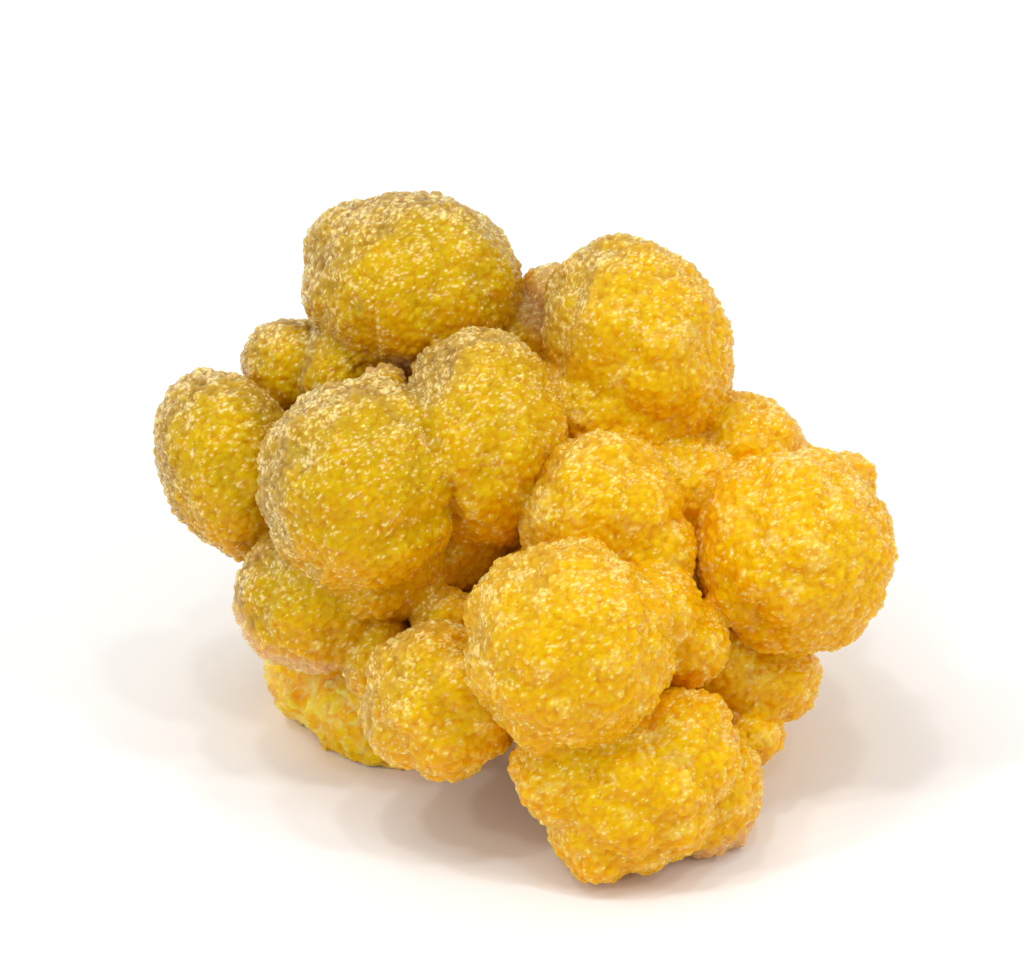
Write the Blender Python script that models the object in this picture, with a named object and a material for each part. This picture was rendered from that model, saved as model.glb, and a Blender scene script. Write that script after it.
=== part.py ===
"""Mimetite specimen: a free-standing cluster of round nodules that grew together.

The specimen rests on its flat broken underside, z = 0, with +Z up and the origin in the middle
of its base. Its display side, where the best nodules are, faces -Y and leans back. Nodules there
are placed on the display plane: across is to the right, rise is up the plane and forward is
towards a viewer who looks straight at it. Sizes and places in the tables are millimetres.
"""

import math

import bmesh
import bpy
import numpy as np
from mathutils import Matrix, Vector

MM = 0.001
NAME = "mimetite_cluster"

# The display plane leans back by this angle. Its origin and the middle of the finished base are
# both measured from the point that the resting tables start from.
DISPLAY_TILT = math.radians(30)
DISPLAY_ORIGIN = (0.0, 1.5, 15.75)
BASE_MIDDLE = (0.19, 2.29, 0.0)

# Lobes are the low swellings on each nodule: how far apart they grow, how wide each one is and
# the lowest one as a share of the highest.
LOBE_SPACING = 3.4
LOBE_HALF_WIDTH = 2.0
LOWEST_LOBE = 0.45
LOBE_SEED = 41
GOLDEN_ANGLE = math.pi * (3 - math.sqrt(5))

# Nodules above this mean radius start from the finer sphere.
LARGE_RADIUS = 4.0
LARGE_SUBDIVISIONS = 4
SMALL_SUBDIVISIONS = 3

# The share of the joined surface's triangles that the finished solid keeps.
KEPT_TRIANGLES = 0.27

GROUND_SIZE = 80.0
COLOR = (0.84, 0.55, 0.05, 1.0)
ROUGHNESS = 0.35

# name, across, rise, forward, half width, half height, half depth, turn in degrees, lobe height
DISPLAY_NODULES = (
    ("crown_left", -7.2, 17.0, -3.0, 7.0, 6.0, 6.6, 0, 0.58),
    ("crown_left_shoulder", -11.0, 19.2, -3.0, 3.2, 3.1, 3.6, 0, 0.41),
    ("crown_right", 7.9, 13.1, 0.0, 7.0, 5.5, 6.2, -62, 0.82),
    ("crown_right_low", 6.0, 8.6, -0.5, 5.4, 4.6, 5.2, 0, 0.66),
    ("crown_notch", 2.0, 15.6, -5.0, 2.2, 2.8, 2.6, 0, 0.33),
    ("crown_neck", -0.5, 13.2, -4.5, 3.6, 3.4, 3.2, 0, 0.33),
    ("left_bud", -15.3, 11.7, -5.0, 3.1, 2.9, 3.2, 0, 0.49),
    ("left_neck", -12.2, 11.2, -3.2, 3.0, 3.0, 3.0, 0, 0.33),
    ("left_wing", -19.2, 4.9, -2.0, 6.5, 4.5, 5.0, -62, 0.58),
    ("middle_left", -10.5, 3.6, 5.5, 6.2, 6.8, 6.0, 0, 0.82),
    ("middle_left_low", -9.2, -1.2, 3.4, 4.4, 3.9, 3.9, 0, 0.66),
    ("middle", -2.5, 6.7, 3.5, 5.3, 7.0, 5.8, 0, 0.74),
    ("middle_low", -4.2, 0.4, 1.4, 3.9, 3.6, 3.4, 0, 0.66),
    ("middle_bead", -9.1, 10.3, 2.0, 1.5, 1.2, 1.5, 0, 0.17),
    ("lower_left", -13.7, -3.8, 1.0, 5.0, 4.7, 5.0, 0, 0.58),
    ("heart", 5.3, 1.7, 6.0, 4.9, 5.0, 4.8, 0, 0.82),
    ("heart_lobe", 9.0, -0.7, 7.0, 2.4, 2.5, 2.5, 0, 0.41),
    ("heart_back", 9.0, 3.3, 3.0, 2.4, 2.8, 2.6, 0, 0.41),
    ("right_bud", 14.5, 5.6, -3.0, 4.1, 4.1, 4.2, 0, 0.66),
    ("right_neck", 10.2, 2.6, 0.5, 4.8, 4.6, 4.2, 0, 0.41),
    ("right_wing", 18.1, -0.7, 4.5, 6.2, 6.4, 6.2, 0, 0.82),
    ("right_wing_corner", 21.4, 3.7, 2.5, 2.1, 2.1, 2.2, 0, 0.3),
    ("front", 3.1, -6.9, 12.5, 6.4, 6.3, 6.0, 0, 0.99),
    ("front_root", 2.0, -5.0, 5.0, 4.5, 4.5, 4.5, 0, 0.4),
    ("front_lobe", 2.1, -12.1, 12.0, 2.1, 2.1, 2.1, 0, 0.33),
    ("front_side", 8.7, -4.8, 9.0, 2.9, 3.2, 3.0, 0, 0.49),
    ("front_side_back", 10.9, -6.7, 7.0, 2.5, 2.9, 2.8, 0, 0.49),
    ("low_left", -5.1, -10.6, 7.5, 4.8, 4.7, 4.7, 0, 0.82),
    ("low_left_root", -4.6, -8.6, 1.6, 3.6, 3.2, 3.6, 0, 0.49),
    ("low_left_bead", -4.9, -5.3, 4.0, 2.1, 2.0, 2.2, 0, 0.25),
    ("low_left_finger", -9.5, -7.3, 2.0, 2.3, 3.2, 2.4, 0, 0.41),
    ("foot", 7.3, -16.0, 8.0, 5.9, 5.0, 5.2, 0, 0.91),
    ("foot_shoulder", 10.5, -13.7, 9.0, 3.6, 3.7, 3.6, 0, 0.66),
    ("foot_left", 3.2, -15.2, 9.5, 3.3, 3.4, 3.3, 0, 0.66),
    ("foot_toe", 5.3, -19.0, 8.5, 3.0, 3.0, 3.1, 0, 0.58),
    ("right_ledge", 15.5, -9.3, 0.5, 4.4, 2.8, 3.7, 0, 0.58),
    ("right_ledge_root", 13.2, -7.6, 1.5, 3.2, 3.6, 3.6, 0, 0.41),
    ("right_step", 15.2, -12.9, 2.0, 2.1, 1.8, 2.4, 0, 0.33),
    ("right_foot", 12.2, -16.4, 4.5, 3.5, 4.3, 4.0, 0, 0.58),
)

# name, x, y, z, half width, half depth, half height, turn in degrees, lobe height
CORE = ("core", 0.0, 7.5, 13.0, 13.0, 9.5, 10.0, 0, 0.0)
RESTING_NODULES = (
    ("core_back", 1.0, 13.5, 10.5, 8.5, 6.0, 7.0, 0, 0.0),
    ("back_left_high", -6.0, 16.0, 20.0, 6.0, 5.6, 6.0, 0, 0.82),
    ("back_right_high", 7.4, 15.0, 20.5, 6.0, 5.8, 6.0, 0, 0.82),
    ("back_left", -14.6, 11.5, 15.0, 5.2, 5.4, 5.2, 0, 0.66),
    ("back_right", 15.2, 11.0, 12.6, 5.6, 5.6, 5.6, 0, 0.82),
    ("back_right_side", 19.0, 4.0, 12.6, 4.2, 4.6, 4.2, 0, 0.66),
    ("back_low_left", -13.4, 10.5, 7.6, 4.6, 5.0, 4.8, 0, 0.66),
    ("back_middle", -2.6, 18.0, 11.5, 6.0, 5.4, 5.8, 0, 0.82),
    ("back_low_right", 8.6, 16.5, 9.5, 5.6, 5.4, 5.6, 0, 0.82),
    ("back_foot_left", -8.4, 14.0, 4.2, 5.2, 4.6, 4.6, 0, 0.66),
    ("back_foot_middle", 1.6, 16.0, 4.0, 4.6, 4.4, 4.4, 0, 0.66),
    ("back_foot_right", 13.0, 8.6, 5.4, 5.0, 5.2, 4.8, 0, 0.66),
)

# The base was broken off its rock, so its blocks have flat facets instead of lobes.
# name, x, y, z, half width, half depth, half height
BROKEN_BLOCKS = (
    ("base_middle", 1.0, 11.5, 3.0, 12.0, 8.5, 6.0),
    ("base_front", -8.4, 2.8, 2.6, 6.4, 5.8, 5.2),
    ("base_corner", -13.3, 5.2, 3.6, 4.1, 4.6, 4.8),
    ("base_right", 10.5, 1.0, 3.0, 6.0, 7.0, 5.0),
)
BLOCK_SUBDIVISIONS = 2
BLOCK_UNEVENNESS = 0.09
BLOCK_SEED = 7


def clear_scene():
    """Removes every object, so that the part starts from an empty scene."""
    for obj in list(bpy.data.objects):
        bpy.data.objects.remove(obj)


def new_collection(name):
    """A new collection in the scene."""
    collection = bpy.data.collections.new(name)
    bpy.context.scene.collection.children.link(collection)
    return collection


def resting_frame():
    """The matrix from the resting tables' millimetres to metres from the base's middle."""
    return Matrix.Scale(MM, 4) @ Matrix.Translation(-Vector(BASE_MIDDLE))


def display_frame():
    """The matrix from the display plane's axes (across, rise, forward) to the same place."""
    across = Vector((1, 0, 0))
    rise = Vector((0, math.sin(DISPLAY_TILT), math.cos(DISPLAY_TILT)))
    forward = Vector((0, -math.cos(DISPLAY_TILT), math.sin(DISPLAY_TILT)))
    axes = Matrix((across, rise, forward)).transposed().to_4x4()
    return resting_frame() @ Matrix.Translation(DISPLAY_ORIGIN) @ axes


def sphere_directions(count, rng):
    """Directions spread evenly over a sphere along a spiral, each moved a little at random."""
    steps = np.arange(count) + 0.5
    height = 1 - 2 * steps / count
    ring = np.sqrt(1 - height**2)
    angle = steps * GOLDEN_ANGLE
    spread = np.stack((ring * np.cos(angle), ring * np.sin(angle), height), axis=1)
    spread += rng.normal(0, 0.5 / math.sqrt(count), spread.shape)
    return spread / np.linalg.norm(spread, axis=1, keepdims=True)


def lobe_relief(directions, radius, lobe_height, rng):
    """How far the lobes raise a nodule's surface along each direction."""
    count = max(8, round(4 * math.pi * radius**2 / LOBE_SPACING**2))
    centres = sphere_directions(count, rng)
    heights = lobe_height * rng.uniform(LOWEST_LOBE, 1.0, count)
    angles = np.arccos(np.clip(directions @ centres.T, -1, 1))
    inside = np.clip(1 - (angles * radius / LOBE_HALF_WIDTH) ** 2, 0, 1)
    return (heights * np.sqrt(inside)).max(axis=1)


def unit_sphere(subdivisions):
    """A closed sphere of radius 1 as a bmesh."""
    shape = bmesh.new()
    bmesh.ops.create_icosphere(shape, subdivisions=subdivisions, radius=1.0)
    return shape


def finished_mesh(name, shape, points, place):
    """A mesh with the shape's faces and its vertices at the points, moved by a matrix."""
    for vertex, point in zip(shape.verts, points):
        vertex.co = point
    mesh = bpy.data.meshes.new(name)
    shape.to_mesh(mesh)
    shape.free()
    mesh.transform(place)
    return mesh


def nodule_mesh(row, frame, seed):
    """The lobed ball that one row of a nodule table describes."""
    name, *centre_and_size, turn, lobe_height = row
    centre = centre_and_size[:3]
    half_sizes = centre_and_size[3:]
    radius = sum(half_sizes) / 3
    shape = unit_sphere(LARGE_SUBDIVISIONS if radius > LARGE_RADIUS else SMALL_SUBDIVISIONS)
    directions = np.array([vertex.co[:] for vertex in shape.verts])
    raised = lobe_relief(directions, radius, lobe_height, np.random.default_rng(seed))
    points = directions * (np.array(half_sizes) + raised[:, None])
    place = Matrix.Translation(centre) @ Matrix.Rotation(math.radians(turn), 4, "Z")
    return finished_mesh(name, shape, points, frame @ place)


def block_mesh(row, frame, rng):
    """The faceted block that one row of the block table describes."""
    name, *centre_and_size = row
    shape = unit_sphere(BLOCK_SUBDIVISIONS)
    directions = np.array([vertex.co[:] for vertex in shape.verts])
    uneven = 1 + rng.uniform(-BLOCK_UNEVENNESS, BLOCK_UNEVENNESS, (len(directions), 1))
    points = directions * uneven * np.array(centre_and_size[3:])
    return finished_mesh(name, shape, points, frame @ Matrix.Translation(centre_and_size[:3]))


def add_helper(name, mesh, collection):
    """An object that the solid is joined from or cut with, and that isn't part of it."""
    helper = bpy.data.objects.new(name, mesh)
    helper.hide_render = True
    helper.display_type = "WIRE"
    collection.objects.link(helper)
    return helper


def place_nodules(rows, frame, first_seed, collection):
    """One helper for each row of a nodule table."""
    for number, row in enumerate(rows):
        add_helper(row[0], nodule_mesh(row, frame, first_seed + number), collection)


def place_blocks(collection):
    """One helper for each block of the broken base."""
    rng = np.random.default_rng(BLOCK_SEED)
    for row in BROKEN_BLOCKS:
        add_helper(row[0], block_mesh(row, resting_frame(), rng), collection)


def ground_cutter(collection):
    """The block below z = 0 that cuts the underside flat."""
    shape = bmesh.new()
    bmesh.ops.create_cube(shape, size=GROUND_SIZE * MM)
    mesh = bpy.data.meshes.new("ground_cutter")
    shape.to_mesh(mesh)
    shape.free()
    mesh.transform(Matrix.Translation((0, 0, -GROUND_SIZE * MM / 2)))
    return add_helper("ground_cutter", mesh, collection)


def mimetite_material():
    """Translucent golden yellow mimetite."""
    material = bpy.data.materials.new("mimetite")
    material.use_nodes = True
    shader = material.node_tree.nodes["Principled BSDF"]
    shader.inputs["Base Color"].default_value = COLOR
    shader.inputs["Roughness"].default_value = ROUGHNESS
    shader.inputs["Metallic"].default_value = 0.0
    return material


def grown_together(nodules, cutter, collection):
    """One solid: the core with every nodule and block joined to it, cut flat underneath."""
    body = bpy.data.objects.new(NAME, nodule_mesh(CORE, resting_frame(), LOBE_SEED))
    collection.objects.link(body)
    joined = body.modifiers.new("nodules", "BOOLEAN")
    joined.operation = "UNION"
    joined.operand_type = "COLLECTION"
    joined.collection = nodules
    lighter = body.modifiers.new("fewer_triangles", "DECIMATE")
    lighter.ratio = KEPT_TRIANGLES
    flat = body.modifiers.new("resting_face", "BOOLEAN")
    flat.operation = "DIFFERENCE"
    flat.object = cutter
    body.data.materials.append(mimetite_material())


def main():
    clear_scene()
    specimen = new_collection("mimetite_specimen")
    nodules = new_collection("nodules")
    cutters = new_collection("cutters")
    place_nodules(DISPLAY_NODULES, display_frame(), LOBE_SEED, nodules)
    place_nodules(RESTING_NODULES, resting_frame(), LOBE_SEED + len(DISPLAY_NODULES), nodules)
    place_blocks(nodules)
    grown_together(nodules, ground_cutter(cutters), specimen)


main()
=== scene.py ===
"""Looks of the mimetite specimen: a golden, translucent cluster frosted with fine crystals.

The frame's solid gives the form. It is refined here into a fine surface in millimetres, on which
lobes and crystal grains are raised, or flat facets where the base is broken. Every point gets a
colour from its place, from how crowded it is and from the way it faces; besides the mineral's own
colours, this paints shade in crevices, underneath and between grains, a glow on the caps, sheen
on the flanks and glints. The surface is kept in a few pieces that meet in the crevices between
the balls.
"""

import math

import bpy
import numpy as np
from mathutils import Matrix, Vector, noise
from mathutils.bvhtree import BVHTree
from mathutils.kdtree import KDTree


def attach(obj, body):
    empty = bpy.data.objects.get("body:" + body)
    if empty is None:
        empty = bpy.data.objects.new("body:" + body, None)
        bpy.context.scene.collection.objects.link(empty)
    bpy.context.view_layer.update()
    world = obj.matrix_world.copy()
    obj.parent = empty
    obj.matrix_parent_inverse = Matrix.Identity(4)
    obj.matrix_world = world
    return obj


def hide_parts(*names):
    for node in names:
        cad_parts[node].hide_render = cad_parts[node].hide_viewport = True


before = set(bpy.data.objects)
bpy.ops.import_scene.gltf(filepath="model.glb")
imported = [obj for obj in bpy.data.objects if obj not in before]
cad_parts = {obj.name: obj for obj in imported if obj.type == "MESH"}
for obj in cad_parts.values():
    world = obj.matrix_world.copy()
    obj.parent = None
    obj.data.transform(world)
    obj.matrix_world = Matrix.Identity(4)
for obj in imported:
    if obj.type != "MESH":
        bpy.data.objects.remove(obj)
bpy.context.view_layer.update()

NODE = "mimetite_cluster"
MM = 0.001

# A normal is never divided by less than this.
LEAST_LENGTH = 1e-12

# Places in the tables are millimetres from a point that lies here from the base's middle.
TABLE_ORIGIN = np.array((-0.19, -2.29, 0.0))

# The display plane that the camera looks straight at: its tilt and its origin.
DISPLAY_TILT = math.radians(30)
DISPLAY_ORIGIN = np.array((0.0, 1.5, 15.75)) + TABLE_ORIGIN
ACROSS = np.array((1.0, 0.0, 0.0))
RISE = np.array((0.0, math.sin(DISPLAY_TILT), math.cos(DISPLAY_TILT)))
FORWARD = np.array((0.0, -math.cos(DISPLAY_TILT), math.sin(DISPLAY_TILT)))

# The photograph's scale on the display plane and the pixel that the plane's origin falls on.
IMAGE_WIDTH = 1024
IMAGE_HEIGHT = 975
PIXELS_PER_MM = 15.0
ORIGIN_PIXEL = (520.0, 540.0)

# The camera's lens and sensor, in millimetres, and how far it sees, in metres.
LENS = 300.0
SENSOR_WIDTH = 36.0
CAMERA_REACH = 10.0

# The fine surface: its voxel size, how often it is smoothed and how strongly each time.
VOXEL = 0.162
FACET_SMOOTHING = 14
SMOOTHING_FACTOR = 0.5

# Seeds spread at random carry bumps and facets. These numbers turn a seed's place into shares that
# look random, numbered for what each one decides.
SHARE_MIX = (12.9898, 78.233, 37.719)
SHARE_SCALE = 43758.5453
HEIGHT_SHARE = 0
LEAN_SHARES = (1, 2, 3)
COLOR_SHARE = 4

# A rounded bump: its radius as a part of its size, and the height of the lowest beside the highest.
DOME_RADIUS = 0.9
LOWEST_DOME = 0.5

# Lobes on every ball: their size and height.
LOBE_SIZE = 2.6
LOBE_HEIGHT = 0.2

# Smaller and higher lumps on the piece that is rougher.
ROUGH_PIECE = "foot"
LUMP_SIZE = 1.7
LUMP_HEIGHT = 0.32

# Crystal grains: their size, their height on a ball's cap and on its flank, how steeply one may
# lean, and the unevenness of their facets.
GRAIN_SIZE = 0.55
GRAIN_HEIGHTS = (0.24, 0.42)
GRAIN_SLOPE = 0.2
FACET_UNEVENNESS = 0.024

# The broken base has flat facets instead: their size, how steeply one may lean, how wide their
# pale rims are, and how much of the lobes and grains is left on them.
BROKEN_PIECE = "base"
BREAK_SIZE = 1.1
BREAK_SLOPE = 0.26
BREAK_RIM = 0.14
BREAK_RELIEF = 0.3

# The surface starts this far inside the solid, so that the grains reach the solid's own surface.
INSET = 0.22

SEED = 20

# How crowded a place is: how many vertices and rays are tried, how far above the surface a ray
# starts, how far it reaches, and the least weight that it has. Every other vertex takes its value
# from the nearest that were tried, and the last number keeps the very nearest from outweighing
# the others.
CROWDING_SAMPLES = 9000
CROWDING_RAYS = 32
CROWDING_START = 0.5
CROWDING_REACH = 7.0
LEAST_RAY_WEIGHT = 1e-6
CROWDING_NEIGHBOURS = 4
CROWDING_SOFTENING = 0.2

# Noise: how far one seed's field lies from the next, and how strongly its values swing.
NOISE_SHIFT = (13.7, 7.3, 3.1)
NOISE_SWING = 0.7

# Colours in sRGB.
OLIVE = (178, 146, 6)
AMBER = (236, 182, 0)
# The next eight colours paint light and shade: a glow on the caps, shade underneath and in crevices,
# sheen and shade on the flanks, and glints.
PAINTED_CAP_GLOW = (230, 189, 5)
PAINTED_DEEP_SHADE = (230, 164, 2)
COOL_CREVICE_SHADE = (190, 138, 24)
WARM_CREVICE_SHADE = (246, 182, 12)
HOLLOW_SHADE_TAN = (142, 104, 42)
CREST_SHEEN_TAN = (200, 166, 96)
COOL_PAINTED_GLINT = (255, 230, 166)
WARM_PAINTED_GLINT = (255, 234, 150)
PATCH = (252, 226, 132)
BROKEN = ((254, 206, 6), (252, 198, 0), (248, 188, 4), (238, 170, 18), (250, 216, 70))
BROKEN_AMBER = (236, 166, 16)
BROKEN_RIM = (254, 230, 130)
DUST = (222, 172, 124)
CRUST = (206, 162, 110)
COLOR_NAME = "mineral_color"

# How much brighter or darker a point may be by chance.
POINT_VARIATION = 0.05

# The mineral warms from the upper left to the lower right: from where to where in millimetres
# across, how much a place's height counts beside that, the size and seed of the noise that moves
# the change, and how far it does.
WARMING = (-18.0, 12.0)
WARMING_RISE = 0.55
WARMING_NOISE = (4.0, 1)
WARMING_DRIFT = 6

# A place is a crevice, painted with the crevice colours as shade, from the first crowding on, and
# wholly so from the second. In the same way, every pair below that is called a spread holds the
# values where its share is 0 and where it is 1.
CREVICE_CROWDING = (0.18, 0.75)

# The painted glow of the caps, a lighter lemon in the middle of each ball's cap: its least share,
# and how much noise of this size and seed adds to it.
CAP_GLOW_SHARE = 0.35
CAP_GLOW_MORE = 0.4
CAP_GLOW_NOISE = (2.4, 4)

# The deep orange painted as shade underneath, on warm flanks and in the hollows between grains:
# its share and its spread.
SHADE_UNDERNEATH = 0.8
UNDERNEATH_SPREAD = (0, 0.9)
SHADE_FLANK = 0.7
FLANK_SPREAD = (0.1, 0.7)
SHADE_BETWEEN = 0.3
BETWEEN_SPREAD = (0.1, 0.6)

# The tan painted as sheen on the flanks, darker in the hollows between grains as painted shade: its
# spread, how much facing the upper left adds, its share where the mineral is cool and how much of
# that is lost where it is warm.
TAN_SPREAD = (0.25, 1.1)
TAN_UPPER_LEFT = 0.5
TAN_SHARE = 0.95
TAN_LOSS = 0.9

# The broken base: its shares of amber and dust, and the size and seed of the noise that spreads
# the amber, the pale rims and the dust.
BREAK_AMBER_SHARE = 0.7
BREAK_AMBER_NOISE = (1.2, 9)
BREAK_RIM_NOISE = (0.8, 5)
BREAK_RIM_SPREAD = (0.4, 0.9)
BREAK_DUST_SHARE = 0.15
BREAK_DUST_NOISE = (1.8, 6)
BREAK_DUST_SPREAD = (0.5, 0.9)

# Painted glints, pale specks on single crystals: their least and greatest chance; how much facing up
# adds and facing right takes away; the parts of the chance that come from anywhere, from the flank,
# from facing and from patches; what crevices lose and the broken base keeps of it; and how strongly
# a glinting crystal is coloured.
PAINTED_GLINT_CHANCE = (0.015, 0.62)
GLINT_UP = 0.75
GLINT_RIGHT = 0.45
GLINT_ANYWHERE = 0.15
GLINT_FLANK = 0.5
GLINT_FACING = 0.5
GLINT_PATCHES = 0.15
CREVICE_GLINT_LOSS = 0.8
BREAK_GLINT = 0.3
GLINT_SHARE = (0.3, 1.0)

# Drifts of painted glints and pale patches: each noise's weight, size and seed, their spreads, how
# much smaller drifts are where the mineral is warm, and how strongly patches are coloured.
DRIFT_NOISES = ((0.5, 1.8, 2), (0.5, 0.6, 3))
DRIFT_SPREAD = (0.35, 0.65)
WARM_DRIFT_LOSS = 1.5
PATCH_NOISES = ((0.6, 1.4, 7), (0.4, 0.5, 8))
PATCH_SPREAD = (0.58, 0.74)
PATCH_SHARE = 0.2

# The greatest share of dust or crust in a band, and the part of its reach where it is that much.
BAND_SHARE = 0.75
BAND_MIDDLE = 0.4

# Dusty bands along broken rims: both ends (across, rise, forward) and how far the dust reaches.
DUSTY_BANDS = (
    ((-18.4, -5.4, 2.0), (-13.4, -9.2, 3.0), 1.9),
    ((9.0, -20.4, 6.0), (15.0, -19.6, 5.0), 1.9),
)

# Brown crusts, as bands too.
CRUSTS = (
    ((1.4, 15.0, -3.0), (3.0, 17.0, -3.6), 2.6),
    ((-10.0, 10.6, 2.0), (-7.4, 10.8, 1.0), 1.9),
)

# Light travels this far inside the mineral, in millimetres, for red, green and blue.
GLOW_REACH = (2.4, 1.4, 0.3)
GLOW_NAME = "glow_share"

# No light travels inside at a seam or at the floor; it travels freely from this far away on.
GLOW_START = 1.2

# How strongly the surface bends light, the tint of its glints, and its roughness and bump, each
# with the size of the noise that it follows.
SURFACE_IOR = 1.42
GLINT_TINT = (1.0, 0.78, 0.3, 1.0)
ROUGHNESS_RANGE = (0.05, 0.16)
ROUGHNESS_SIZE = 0.8
FACET_BUMP_SIZE = 0.4
FACET_BUMP_DEPTH = 0.01

# The noise texture's values that are stretched over a whole range.
TEXTURE_SPREAD = (0.35, 0.65)

FLOOR_SIZE = 3.0
FLOOR_COLOR = (0.93, 0.93, 0.93)
FLOOR_ROUGHNESS = 0.9

# The surround is dim on the camera's side and bright behind the specimen. It changes between
# these two directions, -1 being straight behind the specimen and 1 straight behind the camera.
SURROUND_FRONT = 0.5
SURROUND_BACK = 0.9
SURROUND_CHANGE = (-0.3, 0.8)

# Small lights on an arc over the camera's line of sight: how many, how far from the specimen
# and from that line, in metres, and each one's size and power.
ARC_LIGHTS = 8
ARC_DISTANCE = 0.3
ARC_RADIUS = 0.34
ARC_LIGHT_SIZE = 0.03
ARC_LIGHT_POWER = 0.17

# A larger light above, for the tops and the floor.
TOP_PLACE = (-0.12, -0.05, 0.45)
TOP_SIZE = 0.2
TOP_POWER = 0.3

# How often light may bounce in all, and off rough surfaces.
MAX_BOUNCES = 8
DIFFUSE_BOUNCES = 6

# Balls that show, and those of the back: piece, across, rise, forward, radius in millimetres.
BALLS = (
    ("crown", -7.2, 17.0, -3.0, 6.6),
    ("crown", -11.0, 19.2, -3.0, 3.3),
    ("crown", 7.9, 13.1, 0.0, 6.4),
    ("crown", 2.0, 15.6, -5.0, 2.5),
    ("crown", -0.5, 13.2, -4.5, 3.4),
    ("crown", 6.0, 8.6, -0.5, 5.1),
    ("left", -15.3, 11.7, -5.0, 3.1),
    ("left", -12.2, 11.2, -3.2, 3.0),
    ("left", -19.2, 4.9, -2.0, 5.4),
    ("middle", -10.5, 3.6, 5.5, 6.4),
    ("middle", -9.2, -1.2, 3.4, 4.1),
    ("middle", -2.5, 6.7, 3.5, 6.0),
    ("middle", -4.2, 0.4, 1.4, 3.6),
    ("middle", -9.1, 10.3, 2.0, 1.4),
    ("left", -13.7, -3.8, 1.0, 4.9),
    ("middle", 5.3, 1.7, 6.0, 4.9),
    ("middle", 9.0, -0.7, 7.0, 2.5),
    ("middle", 9.0, 3.3, 3.0, 2.6),
    ("right", 14.5, 5.6, -3.0, 4.1),
    ("right", 10.2, 2.6, 0.5, 4.5),
    ("right", 18.1, -0.7, 4.5, 6.3),
    ("right", 21.4, 3.7, 2.5, 2.1),
    ("front", 3.1, -6.9, 12.5, 6.3),
    ("front", 2.0, -5.0, 5.0, 4.5),
    ("front", 2.1, -12.1, 12.0, 2.1),
    ("front", 8.7, -4.8, 9.0, 3.0),
    ("front", 10.9, -6.7, 7.0, 2.7),
    ("front", -5.1, -10.6, 7.5, 4.8),
    ("front", -4.6, -8.6, 1.6, 3.5),
    ("front", -4.9, -5.3, 4.0, 2.1),
    ("front", -9.5, -7.3, 2.0, 2.6),
    ("foot", 7.3, -16.0, 8.0, 5.4),
    ("foot", 10.5, -13.7, 9.0, 3.6),
    ("foot", 3.2, -15.2, 9.5, 3.3),
    ("foot", 5.3, -19.0, 8.5, 3.0),
    ("right", 15.5, -9.3, 0.5, 3.6),
    ("right", 13.2, -7.6, 1.5, 3.5),
    ("right", 15.2, -12.9, 2.0, 2.1),
    ("foot", 12.2, -16.4, 4.5, 3.9),
)

# The same for the balls of the back and the blocks of the base: piece, x, y, z and radius.
REAR_BALLS = (
    ("back_high", -6.0, 16.0, 20.0, 5.9),
    ("back_high", 7.4, 15.0, 20.5, 5.9),
    ("back_high", -14.6, 11.5, 15.0, 5.3),
    ("back_high", 15.2, 11.0, 12.6, 5.6),
    ("right", 19.0, 4.0, 12.6, 4.3),
    ("back_low", -13.4, 10.5, 7.6, 4.8),
    ("back_low", -2.6, 18.0, 11.5, 5.7),
    ("back_low", 8.6, 16.5, 9.5, 5.5),
    ("back_low", -8.4, 14.0, 4.2, 4.8),
    ("back_low", 1.6, 16.0, 4.0, 4.5),
    ("back_low", 13.0, 8.6, 5.4, 5.0),
    ("base", 1.0, 11.5, 3.0, 8.0),
    ("base", -8.4, 2.8, 2.6, 5.6),
    ("base", -13.3, 5.2, 3.6, 4.4),
    ("base", 10.5, 1.0, 3.0, 5.8),
)


def display_place(points):
    """Points in the display plane's axes: across, rise and forward."""
    return (points - DISPLAY_ORIGIN) @ np.stack((ACROSS, RISE, FORWARD)).T


def mesh_arrays(mesh):
    """A triangulated mesh's vertex positions and triangles."""
    points = np.empty(len(mesh.vertices) * 3)
    mesh.vertices.foreach_get("co", points)
    mesh.calc_loop_triangles()
    triangles = np.empty(len(mesh.loop_triangles) * 3, dtype=np.int64)
    mesh.loop_triangles.foreach_get("vertices", triangles)
    return points.reshape(-1, 3), triangles.reshape(-1, 3)


def array_mesh(name, points, triangles):
    """A mesh of flat-shaded triangles."""
    mesh = bpy.data.meshes.new(name)
    mesh.vertices.add(len(points))
    mesh.vertices.foreach_set("co", points.astype(np.float32).ravel())
    mesh.loops.add(triangles.size)
    mesh.loops.foreach_set("vertex_index", triangles.astype(np.int32).ravel())
    mesh.polygons.add(len(triangles))
    mesh.polygons.foreach_set("loop_start", np.arange(0, triangles.size, 3, dtype=np.int32))
    mesh.update(calc_edges=True)
    return mesh


def modified(mesh, *settings):
    """The mesh after modifiers, each given as its type and a dictionary of its values."""
    work = bpy.data.objects.new("work", mesh)
    bpy.context.scene.collection.objects.link(work)
    for kind, values in settings:
        modifier = work.modifiers.new(kind.lower(), kind)
        for name, value in values.items():
            setattr(modifier, name, value)
    evaluated = work.evaluated_get(bpy.context.evaluated_depsgraph_get())
    result = bpy.data.meshes.new_from_object(evaluated)
    bpy.data.objects.remove(work)
    bpy.data.meshes.remove(mesh)
    return result


def vertex_normals(points, triangles):
    """Unit normals of the vertices, weighted by area."""
    first, second, third = (points[triangles[:, corner]] for corner in range(3))
    cross = np.cross(second - first, third - first)
    normals = np.zeros_like(points)
    for corner in range(3):
        np.add.at(normals, triangles[:, corner], cross)
    return normals / np.linalg.norm(normals, axis=1, keepdims=True).clip(min=LEAST_LENGTH)


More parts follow.
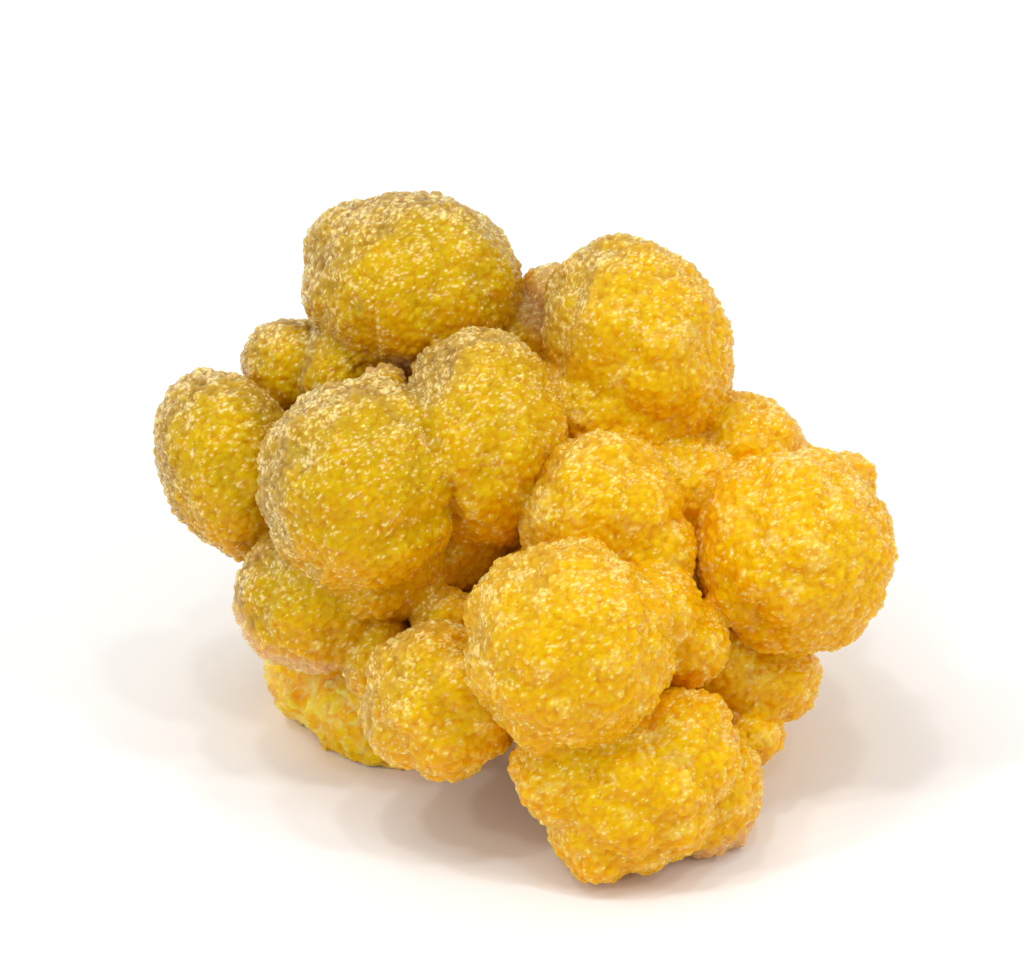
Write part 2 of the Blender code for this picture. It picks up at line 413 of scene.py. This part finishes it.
def solid_in_mm():
    """A copy of the frame's solid, in millimetres."""
    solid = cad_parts[NODE].data.copy()
    solid.transform(Matrix.Scale(1 / MM, 4))
    return solid


def fine_surface():
    """The frame's solid as a fine, smoothed triangle mesh in millimetres."""
    even = modified(
        solid_in_mm(),
        ("REMESH", {"mode": "VOXEL", "voxel_size": VOXEL}),
        ("SMOOTH", {"factor": SMOOTHING_FACTOR, "iterations": FACET_SMOOTHING}),
    )
    return mesh_arrays(even)


def nearest_distance(points, centres, found=1):
    """Distances from each point to its nearest centres, and which centres those are."""
    tree = KDTree(len(centres))
    for index, centre in enumerate(centres):
        tree.insert(centre, index)
    tree.balance()
    distances = np.empty((len(points), found))
    indices = np.empty((len(points), found), dtype=np.int64)
    for row, point in enumerate(points):
        for column, (_, index, distance) in enumerate(tree.find_n(point, found)):
            distances[row, column] = distance
            indices[row, column] = index
    return distances, indices


def nearest_seeds(points, size):
    """For seeds spread at random about that size apart, the nearest one to each point."""
    return size * np.array([noise.voronoi(point)[1][0] for point in (points / size).tolist()])


def rim_distances(points, size):
    """How far each point is from the border between the two nearest of such seeds."""
    found = np.array([noise.voronoi(point)[0][:2] for point in (points / size).tolist()])
    return size * (found[:, 1] - found[:, 0]) / 2


def seed_shares(seeds, number):
    """An evenly spread random share for each seed, the same wherever that seed is met."""
    mix = np.array(SHARE_MIX) * (number + 1)
    return (np.sin(seeds @ mix) * SHARE_SCALE) % 1


def dome_relief(points, size, seeds):
    """Rounded bumps over the seeds, from 0 between them to 1 on the highest."""
    distance = np.linalg.norm(points - seeds, axis=1) / (DOME_RADIUS * size)
    height = LOWEST_DOME + (1 - LOWEST_DOME) * seed_shares(seeds, HEIGHT_SHARE)
    return np.clip(1 - distance**2, 0, 1) * height


def leaning_relief(points, seeds, slope):
    """Planes through the seeds that each lean their own way."""
    lean = np.stack([seed_shares(seeds, number) - 0.5 for number in LEAN_SHARES], axis=1)
    return 2 * slope * ((points - seeds) * lean).sum(axis=1)


def grown_surface(points, normals, flank, broken, rough, rng):
    """The surface with its lobes and grains, and how high each point is on its grain."""
    lobes = LOBE_HEIGHT * dome_relief(points, LOBE_SIZE, nearest_seeds(points, LOBE_SIZE))
    lumps = LUMP_HEIGHT * dome_relief(points, LUMP_SIZE, nearest_seeds(points, LUMP_SIZE))
    seeds = nearest_seeds(points, GRAIN_SIZE)
    grains = dome_relief(points, GRAIN_SIZE, seeds)
    grown = np.where(rough, lumps, lobes) + np.interp(flank, (0, 1), GRAIN_HEIGHTS) * grains
    grown += leaning_relief(points, seeds, GRAIN_SLOPE)
    facets = leaning_relief(points, nearest_seeds(points, BREAK_SIZE), BREAK_SLOPE)
    raised = np.where(broken, facets + BREAK_RELIEF * grown, grown) - INSET
    uneven = rng.normal(0, FACET_UNEVENNESS, points.shape)
    return points + normals * raised[:, None] + uneven, grains


def crowding(points, normals, rng):
    """How much of the space over each vertex other balls fill, from 0 in the open to 1."""
    tree = BVHTree.FromPolygons(*(part.tolist() for part in mesh_arrays(solid_in_mm())))
    samples = rng.permutation(len(points))[:CROWDING_SAMPLES]
    rays = rng.normal(size=(CROWDING_RAYS, 3))
    rays /= np.linalg.norm(rays, axis=1, keepdims=True)
    filled = np.empty(len(samples))
    for row, sample in enumerate(samples):
        normal = normals[sample]
        start = Vector(points[sample] + CROWDING_START * normal)
        upward = rays * np.sign(rays @ normal)[:, None]
        hits = [tree.ray_cast(start, Vector(ray), CROWDING_REACH)[3] for ray in upward]
        near = [1 - hit / CROWDING_REACH if hit is not None else 0.0 for hit in hits]
        filled[row] = np.average(near, weights=np.abs(rays @ normal) + LEAST_RAY_WEIGHT)
    distances, indices = nearest_distance(points, points[samples], CROWDING_NEIGHBOURS)
    weights = 1 / (distances + CROWDING_SOFTENING)
    return (filled[indices] * weights).sum(axis=1) / weights.sum(axis=1)


def smooth_step(value, low, high):
    """0 below low, 1 above high and smooth between them."""
    share = np.clip((value - low) / (high - low), 0, 1)
    return share * share * (3 - 2 * share)


def noise_at(points, size, seed):
    """Smooth noise of that size in millimetres, from 0 to 1."""
    shift = Vector([seed * part for part in NOISE_SHIFT])
    values = [noise.noise(Vector(point) / size + shift) for point in points.tolist()]
    return np.clip(0.5 + NOISE_SWING * np.array(values), 0, 1)


def layered_noise(points, layers):
    """Several such noises added up, each given as its weight, size and seed."""
    return sum(weight * noise_at(points, size, seed) for weight, size, seed in layers)


def linear(color):
    """A colour given as 0 to 255 in sRGB, as linear light."""
    share = np.array(color) / 255
    return np.where(share <= 0.04045, share / 12.92, ((share + 0.055) / 1.055) ** 2.4)


def mixed(color, other, share):
    """Rows of colour moved towards the other by a share for each row."""
    return color + (other - color) * share[:, None]


def band_shares(points, bands):
    """How near each point is to the bands, from 0 at their reach to 1 along their middle."""
    place = display_place(points)
    shares = np.zeros(len(points))
    for start, end, reach in bands:
        start = np.array(start)
        along = np.array(end) - start
        share = np.clip((place - start) @ along / (along @ along), 0, 1)
        distance = np.linalg.norm(place - start - share[:, None] * along, axis=1)
        shares = np.maximum(shares, 1 - smooth_step(distance, BAND_MIDDLE * reach, reach))
    return shares


def broken_colors(points):
    """Facets of the broken base, each in one of its colours, with pale rims."""
    seeds = nearest_seeds(points, BREAK_SIZE)
    choice = (seed_shares(seeds, COLOR_SHARE) * len(BROKEN)).astype(int)
    amber = BREAK_AMBER_SHARE * noise_at(points, *BREAK_AMBER_NOISE) ** 2
    color = mixed(linear(BROKEN)[choice], linear(BROKEN_AMBER), amber)
    rim = 1 - smooth_step(rim_distances(points, BREAK_SIZE), 0, BREAK_RIM)
    rim *= smooth_step(noise_at(points, *BREAK_RIM_NOISE), *BREAK_RIM_SPREAD)
    color = mixed(color, linear(BROKEN_RIM), rim)
    dust = smooth_step(noise_at(points, *BREAK_DUST_NOISE), *BREAK_DUST_SPREAD)
    return mixed(color, linear(DUST), BREAK_DUST_SHARE * dust)


def warmth_shares(points):
    """How warm the mineral is at each point, from 0 at the upper left to 1 at the lower right."""
    across, rise, _ = display_place(points).T
    drift = WARMING_DRIFT * (noise_at(points, *WARMING_NOISE) - 0.5)
    return smooth_step(across - WARMING_RISE * rise + drift, *WARMING)


def blended(first, second, shares):
    """Rows of colour between two, each given in sRGB, by a share for each row."""
    return mixed(np.tile(linear(first), (len(shares), 1)), linear(second), shares)


def mineral_colors(points, normals, warmth, filled, flank, grains, patches):
    """The mineral's colour at each point from its place, crowding, flank and grain, with painted shade
    in crevices, underneath and between grains, a painted glow on the caps and painted sheen on the
    flanks.
    """
    color = blended(OLIVE, AMBER, warmth)
    # Painted glow: the middle of each ball's cap is a lighter lemon.
    cap_glow = CAP_GLOW_SHARE + CAP_GLOW_MORE * noise_at(points, *CAP_GLOW_NOISE)
    color = mixed(color, linear(PAINTED_CAP_GLOW), (1 - flank) ** 2 * cap_glow)
    # Painted shade: deeper orange underneath, on warm flanks and in the hollows between grains.
    underneath = smooth_step(-normals @ RISE, *UNDERNEATH_SPREAD)
    color = mixed(color, linear(PAINTED_DEEP_SHADE), SHADE_UNDERNEATH * underneath)
    color = mixed(color, linear(PAINTED_DEEP_SHADE), SHADE_FLANK * warmth * smooth_step(flank, *FLANK_SPREAD))
    color = mixed(color, linear(PAINTED_DEEP_SHADE), SHADE_BETWEEN * (1 - smooth_step(grains, *BETWEEN_SPREAD)))
    open_share = 1 - smooth_step(filled, *CREVICE_CROWDING)
    # Painted sheen on the flanks, more where they face the upper left, with painted shade in the
    # hollows between grains.
    sheen_and_shade_tan = blended(HOLLOW_SHADE_TAN, CREST_SHEEN_TAN, grains)
    upper_left = normals @ (RISE - ACROSS) / math.sqrt(2)
    sheen_and_shade_share = smooth_step(flank + TAN_UPPER_LEFT * upper_left, *TAN_SPREAD)
    sheen_and_shade_share *= TAN_SHARE - TAN_LOSS * warmth
    color = mixed(color, sheen_and_shade_tan, sheen_and_shade_share * open_share)
    color = mixed(color, linear(PATCH), PATCH_SHARE * patches * warmth)
    # Painted shade in the crevices between the balls.
    crevice_shade = blended(COOL_CREVICE_SHADE, WARM_CREVICE_SHADE, warmth)
    return mixed(color, crevice_shade, 1 - open_share)


def flank_shares(points, normals):
    """How far each point is round its ball's side, from 0 in the middle of either cap to 1."""
    gaps = ball_gaps(points)
    shares = np.exp(gaps.min(axis=0) - gaps)
    outward = shares.T @ ball_directions()
    outward /= np.linalg.norm(outward, axis=1, keepdims=True)
    return 1 - np.abs((normals * outward).sum(axis=1))


def painted_glint_chances(normals, filled, flank, drift, patches):
    """How likely a crystal gets a painted glint: in drifts and patches, on flanks and to the upper
    left.
    """
    facing = GLINT_UP * normals @ RISE - GLINT_RIGHT * normals @ ACROSS
    place = np.clip(GLINT_ANYWHERE + GLINT_FLANK * flank + GLINT_FACING * facing, 0, 1)
    low, high = PAINTED_GLINT_CHANCE
    chance = low + (high - low) * drift * place + GLINT_PATCHES * patches
    return chance * (1 - CREVICE_GLINT_LOSS * smooth_step(filled, *CREVICE_CROWDING))


def ball_places():
    """Every ball's piece, middle and radius."""
    axes = np.stack((ACROSS, RISE, FORWARD))
    names = [ball[0] for ball in BALLS] + [ball[0] for ball in REAR_BALLS]
    shown = np.array([ball[1:4] for ball in BALLS]) @ axes + DISPLAY_ORIGIN
    rear = np.array([ball[1:4] for ball in REAR_BALLS]) + TABLE_ORIGIN
    radii = np.array([ball[4] for ball in BALLS + REAR_BALLS])
    return names, np.concatenate((shown, rear)), radii


def ball_directions():
    """The direction that the middle of each ball's cap faces."""
    _, centres, _ = ball_places()
    outward = centres[len(BALLS):] - DISPLAY_ORIGIN
    outward /= np.linalg.norm(outward, axis=1, keepdims=True)
    return np.concatenate((np.tile(FORWARD, (len(BALLS), 1)), outward))


def ball_gaps(points):
    """How far each point is from the surface of every ball, a row for each ball."""
    _, centres, radii = ball_places()
    gaps = [np.linalg.norm(points - centre, axis=1) - radius for centre, radius in zip(centres, radii)]
    return np.array(gaps)


def glow_shares(points, triangles, piece_of):
    """How freely light travels inside at each point: not at all at seams and at the floor."""
    corners = piece_of[triangles]
    border = np.unique(triangles[(corners != corners[:, :1]).any(axis=1)])
    distances, _ = nearest_distance(points, points[border])
    return smooth_step(np.minimum(distances[:, 0], points[:, 2]), 0, GLOW_START)


def varied(nodes, links, source, size, low, high):
    """Noise of one size in millimetres, spread from low to high."""
    texture = nodes.new("ShaderNodeTexNoise")
    texture.inputs["Scale"].default_value = 1 / (size * MM)
    links.new(source, texture.inputs["Vector"])
    spread = nodes.new("ShaderNodeMapRange")
    spread.inputs["From Min"].default_value = TEXTURE_SPREAD[0]
    spread.inputs["From Max"].default_value = TEXTURE_SPREAD[1]
    spread.inputs["To Min"].default_value = low
    spread.inputs["To Max"].default_value = high
    links.new(texture.outputs["Fac"], spread.inputs["Value"])
    return spread.outputs["Result"]


def mimetite_material():
    """Translucent mimetite that takes its colour from the crystals."""
    material = bpy.data.materials.new("mimetite_crystals")
    material.use_nodes = True
    nodes = material.node_tree.nodes
    links = material.node_tree.links
    shader = nodes["Principled BSDF"]
    color = nodes.new("ShaderNodeAttribute")
    color.attribute_name = COLOR_NAME
    links.new(color.outputs["Color"], shader.inputs["Base Color"])
    place = nodes.new("ShaderNodeTexCoord").outputs["Object"]
    roughness = varied(nodes, links, place, ROUGHNESS_SIZE, *ROUGHNESS_RANGE)
    links.new(roughness, shader.inputs["Roughness"])
    bump = nodes.new("ShaderNodeBump")
    bump.inputs["Distance"].default_value = FACET_BUMP_DEPTH * MM
    links.new(varied(nodes, links, place, FACET_BUMP_SIZE, 0.0, 1.0), bump.inputs["Height"])
    links.new(bump.outputs["Normal"], shader.inputs["Normal"])
    shader.subsurface_method = "RANDOM_WALK"
    glow = nodes.new("ShaderNodeAttribute")
    glow.attribute_name = GLOW_NAME
    links.new(glow.outputs["Fac"], shader.inputs["Subsurface Weight"])
    shader.inputs["Subsurface Radius"].default_value = GLOW_REACH
    shader.inputs["Subsurface Scale"].default_value = MM
    shader.inputs["IOR"].default_value = SURFACE_IOR
    shader.inputs["Specular Tint"].default_value = GLINT_TINT
    return material


def add_piece(name, points, triangles, colors, glow, material):
    """One piece of the crystals, in metres, that stands for the frame's solid."""
    used, corners = np.unique(triangles, return_inverse=True)
    mesh = array_mesh(name, points[used] * MM, corners.reshape(-1, 3))
    layer = mesh.color_attributes.new(COLOR_NAME, "FLOAT_COLOR", "POINT")
    rgba = np.concatenate((colors[used], np.ones((len(used), 1))), axis=1)
    layer.data.foreach_set("color", rgba.astype(np.float32).ravel())
    mesh.attributes.new(GLOW_NAME, "FLOAT", "POINT").data.foreach_set("value", glow[used])
    mesh.materials.append(material)
    piece = bpy.data.objects.new(name, mesh)
    bpy.context.scene.collection.objects.link(piece)
    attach(piece, "root")
    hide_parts(NODE)


def crystal_colors(surface, normals, flank, grains, broken, rng):
    """A colour for each point of the surface, some of them pale as painted glints."""
    filled = crowding(surface, normals, rng)
    warmth = warmth_shares(surface)
    drift = smooth_step(layered_noise(surface, DRIFT_NOISES), *DRIFT_SPREAD)
    drift = drift ** (1 + WARM_DRIFT_LOSS * warmth)
    patches = smooth_step(layered_noise(surface, PATCH_NOISES), *PATCH_SPREAD)
    grown = mineral_colors(surface, normals, warmth, filled, flank, grains, patches)
    colors = np.where(broken[:, None], broken_colors(surface), grown)
    colors = mixed(colors, linear(DUST), BAND_SHARE * band_shares(surface, DUSTY_BANDS))
    colors = mixed(colors, linear(CRUST), BAND_SHARE * band_shares(surface, CRUSTS))
    colors *= rng.uniform(1 - POINT_VARIATION, 1 + POINT_VARIATION, (len(surface), 1))
    # Painted glints: single crystals made pale, most on flanks and where they face up and to the left.
    chance = painted_glint_chances(normals, filled, flank, drift, patches) * np.where(broken, BREAK_GLINT, 1)
    glinting = rng.random(len(surface)) < chance
    glint_color = blended(COOL_PAINTED_GLINT, WARM_PAINTED_GLINT, warmth)
    return mixed(colors, glint_color, glinting * rng.uniform(*GLINT_SHARE, len(surface)))


def grow_crystals(material):
    """The whole crystal surface, in pieces that meet in the crevices between the balls."""
    rng = np.random.default_rng(SEED)
    smooth, triangles = fine_surface()
    normals = vertex_normals(smooth, triangles)
    names, _, _ = ball_places()
    piece_of = np.array(names)[np.argmin(ball_gaps(smooth), axis=0)]
    broken = piece_of == BROKEN_PIECE
    rough = piece_of == ROUGH_PIECE
    flank = flank_shares(smooth, normals)
    surface, grains = grown_surface(smooth, normals, flank, broken, rough, rng)
    surface[:, 2] = np.maximum(surface[:, 2], 0)
    colors = crystal_colors(surface, normals, flank, grains, broken, rng)
    glow = glow_shares(surface, triangles, piece_of)
    for piece in sorted(set(names)):
        own = piece_of[triangles[:, 0]] == piece
        add_piece(f"{piece}_crystals", surface, triangles[own], colors, glow, material)


def plain_material(name, color, roughness):
    """A plain opaque surface."""
    material = bpy.data.materials.new(name)
    material.use_nodes = True
    shader = material.node_tree.nodes["Principled BSDF"]
    shader.inputs["Base Color"].default_value = (*color, 1.0)
    shader.inputs["Roughness"].default_value = roughness
    return material


def add_floor():
    """A pale floor under the specimen."""
    bpy.ops.mesh.primitive_plane_add(size=FLOOR_SIZE)
    floor = bpy.context.object
    floor.name = "floor"
    floor.data.materials.append(plain_material("floor", FLOOR_COLOR, FLOOR_ROUGHNESS))


def look_at(obj, target):
    """Turns a camera or a light towards a point."""
    obj.rotation_mode = "QUATERNION"
    obj.rotation_quaternion = (Vector(target) - obj.location).to_track_quat("-Z", "Y")


def add_camera():
    """A long lens square to the display plane, at the photograph's scale and framing."""
    across = (IMAGE_WIDTH / 2 - ORIGIN_PIXEL[0]) / PIXELS_PER_MM
    rise = (ORIGIN_PIXEL[1] - IMAGE_HEIGHT / 2) / PIXELS_PER_MM
    target = DISPLAY_ORIGIN + ACROSS * across + RISE * rise
    distance = LENS / SENSOR_WIDTH * IMAGE_WIDTH / PIXELS_PER_MM
    data = bpy.data.cameras.new("camera")
    data.lens = LENS
    data.sensor_width = SENSOR_WIDTH
    data.clip_end = CAMERA_REACH
    camera = bpy.data.objects.new("camera", data)
    camera.location = (target + FORWARD * distance) * MM
    bpy.context.scene.collection.objects.link(camera)
    look_at(camera, target * MM)
    bpy.context.scene.camera = camera


def add_area_light(name, place, size, power):
    """A soft square light aimed at the specimen."""
    data = bpy.data.lights.new(name, "AREA")
    data.size = size
    data.energy = power
    light = bpy.data.objects.new(name, data)
    light.location = place
    bpy.context.scene.collection.objects.link(light)
    look_at(light, DISPLAY_ORIGIN * MM)


def add_surround():
    """An even surround, dim on the camera's side and bright behind the specimen."""
    world = bpy.data.worlds.new("surround")
    world.use_nodes = True
    nodes = world.node_tree.nodes
    links = world.node_tree.links
    toward = nodes.new("ShaderNodeVectorMath")
    toward.operation = "DOT_PRODUCT"
    toward.inputs[1].default_value = tuple(FORWARD)
    links.new(nodes.new("ShaderNodeTexCoord").outputs["Generated"], toward.inputs[0])
    strength = nodes.new("ShaderNodeMapRange")
    strength.interpolation_type = "SMOOTHSTEP"
    strength.inputs["From Min"].default_value = SURROUND_CHANGE[0]
    strength.inputs["From Max"].default_value = SURROUND_CHANGE[1]
    strength.inputs["To Min"].default_value = SURROUND_BACK
    strength.inputs["To Max"].default_value = SURROUND_FRONT
    links.new(toward.outputs["Value"], strength.inputs["Value"])
    links.new(strength.outputs["Result"], nodes["Background"].inputs["Strength"])
    nodes["Background"].inputs["Color"].default_value = (1.0, 1.0, 1.0, 1.0)
    bpy.context.scene.world = world


def add_lights():
    """An arc of small lights over the camera's line of sight and a larger one above."""
    for number in range(ARC_LIGHTS):
        angle = math.pi * (number + 0.5) / ARC_LIGHTS
        aside = ACROSS * math.cos(angle) + RISE * math.sin(angle)
        place = FORWARD * ARC_DISTANCE + aside * ARC_RADIUS
        add_area_light(f"arc_{number}", place + DISPLAY_ORIGIN * MM, ARC_LIGHT_SIZE, ARC_LIGHT_POWER)
    add_area_light("top", TOP_PLACE, TOP_SIZE, TOP_POWER)


def set_look():
    """How the render turns light into colour, and how often light bounces."""
    scene = bpy.context.scene
    scene.view_settings.view_transform = "Standard"
    scene.cycles.max_bounces = MAX_BOUNCES
    scene.cycles.diffuse_bounces = DIFFUSE_BOUNCES


grow_crystals(mimetite_material())
add_floor()
add_camera()
add_surround()
add_lights()
set_look()
